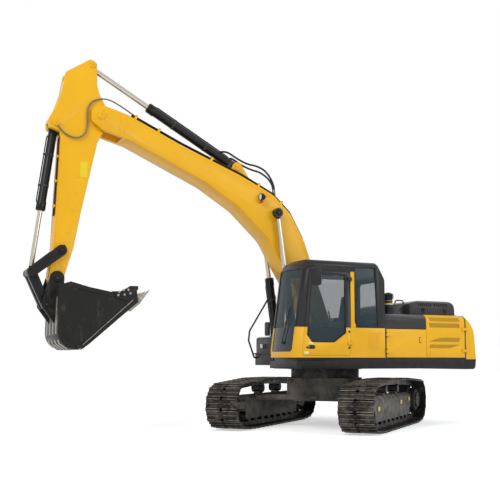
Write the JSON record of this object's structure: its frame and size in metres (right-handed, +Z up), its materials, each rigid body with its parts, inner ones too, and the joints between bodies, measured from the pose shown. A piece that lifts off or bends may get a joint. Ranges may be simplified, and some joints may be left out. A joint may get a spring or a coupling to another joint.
{
  "type": "crawler excavator",
  "caption": "Crawler excavator with two steel tracks, a slewing house with cab and counterweight, a bent boom, an arm and a toothed bucket worked by cylinders.",
  "frame": {"origin": "on the ground, under the slew axis", "axes": "+X forward along the boom, +Y to the cab side, +Z up"},
  "size_m": [8.425, 5.0718, 6.352],
  "materials": {
    "yellow_paint": "glossy machine enamel",
    "cast_yellow": "painted casting",
    "dark_paint": "dark grey enamel",
    "black_paint": "black satin enamel",
    "track_steel": "worn dark steel",
    "frame_paint": "dusty dark enamel",
    "cast_dark": "dark casting",
    "rod_chrome": "polished hard chrome",
    "bucket_steel": "black paint, worn to steel",
    "tooth_steel": "worn steel",
    "glass": "clear tinted glass",
    "lamp": "lamp lens",
    "seat_cloth": "dark woven cloth",
    "cab_plastic": "moulded plastic",
    "plastic_black": "black plastic"
  },
  "bodies": {
    "undercarriage": {"car_body": "frame_paint", "slew_ring": "track_steel", "track_left": "track_steel", "track_right": "track_steel", "idler_left": "cast_dark", "idler_right": "cast_dark", "sprocket_left": "cast_dark", "sprocket_right": "cast_dark", "rollers_left": "cast_dark", "rollers_right": "cast_dark", "track_frame_left": "frame_paint", "track_frame_right": "frame_paint"},
    "upper": {"deck": "dark_paint", "counterweight": "cast_yellow", "engine_block": "cast_dark", "house_frame": "dark_paint", "fuel_tank": "yellow_paint", "hydraulic_tank": "yellow_paint", "toolbox": "dark_paint", "air_cleaner": "plastic_black", "exhaust": "black_paint", "handrails": "black_paint", "mirrors": "plastic_black", "cab_base": "yellow_paint", "cab_frame": "dark_paint", "cab_glass": "glass", "cab_seat": "seat_cloth", "cab_controls": "cab_plastic"},
    "cab_door": {"cab_door": "yellow_paint", "door_glass": "glass"},
    "engine_hood": {"engine_hood": "dark_paint"},
    "side_door_front": {"side_door_front": "yellow_paint"},
    "side_door_rear": {"side_door_rear": "yellow_paint"},
    "pump_door": {"pump_door": "yellow_paint"},
    "toolbox_lid": {"toolbox_lid": "dark_paint"},
    "boom": {"boom": "yellow_paint", "boom_lamp": "lamp", "boom_pipes": "black_paint"},
    "boom_barrel_left": {"boom_barrel_left": "black_paint"},
    "boom_barrel_right": {"boom_barrel_right": "black_paint"},
    "boom_rod_left": {"boom_rod_left": "rod_chrome"},
    "boom_rod_right": {"boom_rod_right": "rod_chrome"},
    "arm_barrel": {"arm_barrel": "black_paint"},
    "arm_rod": {"arm_rod": "rod_chrome"},
    "arm": {"arm": "yellow_paint"},
    "bucket_barrel": {"bucket_barrel": "black_paint"},
    "bucket_rod": {"bucket_rod": "rod_chrome"},
    "rocker": {"rocker": "black_paint"},
    "bucket": {"bucket": "bucket_steel", "bucket_teeth": "tooth_steel"},
    "bucket_link": {"bucket_link": "black_paint"}
  },
  "joints": [
    {"name": "slew", "type": "hinge", "parent": "undercarriage", "child": "upper", "pos_m": [0, 0, 1], "axis": [0, 0, 1], "continuous": true},
    {"name": "boom_lift", "type": "hinge", "parent": "upper", "child": "boom", "pos_m": [0.099, 0, 1.715], "axis": [0, -1, 0], "range_deg": [-72, 27]},
    {"name": "arm_swing", "type": "hinge", "parent": "boom", "child": "arm", "pos_m": [4.429, 0, 5.391], "axis": [0, 1, 0], "range_deg": [-78, 43]},
    {"name": "bucket_curl", "type": "hinge", "parent": "arm", "child": "bucket", "pos_m": [5.118, 0, 2.569], "axis": [0, 1, 0], "range_deg": [-120, 20]},
    {"name": "cab_door_swing", "type": "hinge", "parent": "upper", "child": "cab_door", "pos_m": [0.23, 1.381, 1.9], "axis": [0, 0, 1], "range_deg": [0, 170]},
    {"name": "side_door_front_swing", "type": "hinge", "parent": "upper", "child": "side_door_front", "pos_m": [-0.494, 1.381, 1.5], "axis": [0, 0, 1], "range_deg": [-110, 0]},
    {"name": "side_door_rear_swing", "type": "hinge", "parent": "upper", "child": "side_door_rear", "pos_m": [-2.222, 1.381, 1.6], "axis": [0, 0, 1], "range_deg": [0, 110]},
    {"name": "pump_door_swing", "type": "hinge", "parent": "upper", "child": "pump_door", "pos_m": [-2.222, -1.381, 1.6], "axis": [0, 0, -1], "range_deg": [0, 110]},
    {"name": "engine_hood_lift", "type": "hinge", "parent": "upper", "child": "engine_hood", "pos_m": [-1.62, -0.64, 2.075], "axis": [1, 0, 0], "range_deg": [0, 60]},
    {"name": "toolbox_lid_lift", "type": "hinge", "parent": "upper", "child": "toolbox_lid", "pos_m": [0.5375, -0.9, 1.705], "axis": [0, -1, 0], "range_deg": [0, 80]},
    {"name": "bucket_link_turn", "type": "hinge", "parent": "bucket", "child": "bucket_link", "pos_m": [5.287, 0, 2.132], "axis": [0, 1, 0], "range_deg": [-24, 92]},
    {"name": "rocker_turn", "type": "hinge", "parent": "arm", "child": "rocker", "pos_m": [5.053, 0, 3.033], "axis": [0, 1, 0], "range_deg": [-88, 23]},
    {"name": "bucket_cylinder_tilt", "type": "hinge", "parent": "arm", "child": "bucket_barrel", "pos_m": [5.179, 0, 5.181], "axis": [0, 1, 0], "range_deg": [-6, 2]},
    {"name": "bucket_cylinder_slide", "type": "slide", "parent": "bucket_barrel", "child": "bucket_rod", "axis": [0.1351, 0, -0.9908], "range_m": [-0.77, 0.2]},
    {"name": "arm_cylinder_tilt", "type": "hinge", "parent": "boom", "child": "arm_barrel", "pos_m": [1.849, 0, 4.753], "axis": [0, 1, 0], "range_deg": [-10, 6]},
    {"name": "arm_cylinder_slide", "type": "slide", "parent": "arm_barrel", "child": "arm_rod", "axis": [0.8751, 0, 0.484], "range_m": [-1.01, 0.56]},
    {"name": "boom_cylinder_left_tilt", "type": "hinge", "parent": "upper", "child": "boom_barrel_left", "pos_m": [0.8, 0.352, 1.35], "axis": [0, -1, 0], "range_deg": [-79, 29]},
    {"name": "boom_cylinder_left_slide", "type": "slide", "parent": "boom_barrel_left", "child": "boom_rod_left", "axis": [0.139, 0, 0.9903], "range_m": [-0.91, 0.33]},
    {"name": "boom_cylinder_right_tilt", "type": "hinge", "parent": "upper", "child": "boom_barrel_right", "pos_m": [0.8, -0.352, 1.35], "axis": [0, -1, 0], "range_deg": [-79, 29]},
    {"name": "boom_cylinder_right_slide", "type": "slide", "parent": "boom_barrel_right", "child": "boom_rod_right", "axis": [0.139, 0, 0.9903], "range_m": [-0.91, 0.33]}
  ],
  "couplings": [
    {"joint": "bucket_link_turn", "follows": "bucket_curl", "ratio": -0.75},
    {"joint": "rocker_turn", "follows": "bucket_curl", "ratio": 0.72},
    {"joint": "bucket_cylinder_tilt", "follows": "bucket_curl", "ratio": 0.04},
    {"joint": "bucket_cylinder_slide", "follows": "bucket_curl", "m_per_rad": 0.36},
    {"joint": "arm_cylinder_tilt", "follows": "arm_swing", "ratio": 0.11},
    {"joint": "arm_cylinder_slide", "follows": "arm_swing", "m_per_rad": 0.73},
    {"joint": "boom_cylinder_left_tilt", "follows": "boom_lift", "ratio": 1.03},
    {"joint": "boom_cylinder_left_slide", "follows": "boom_lift", "m_per_rad": 0.68},
    {"joint": "boom_cylinder_right_tilt", "follows": "boom_lift", "ratio": 1.03},
    {"joint": "boom_cylinder_right_slide", "follows": "boom_lift", "m_per_rad": 0.68}
  ]
}
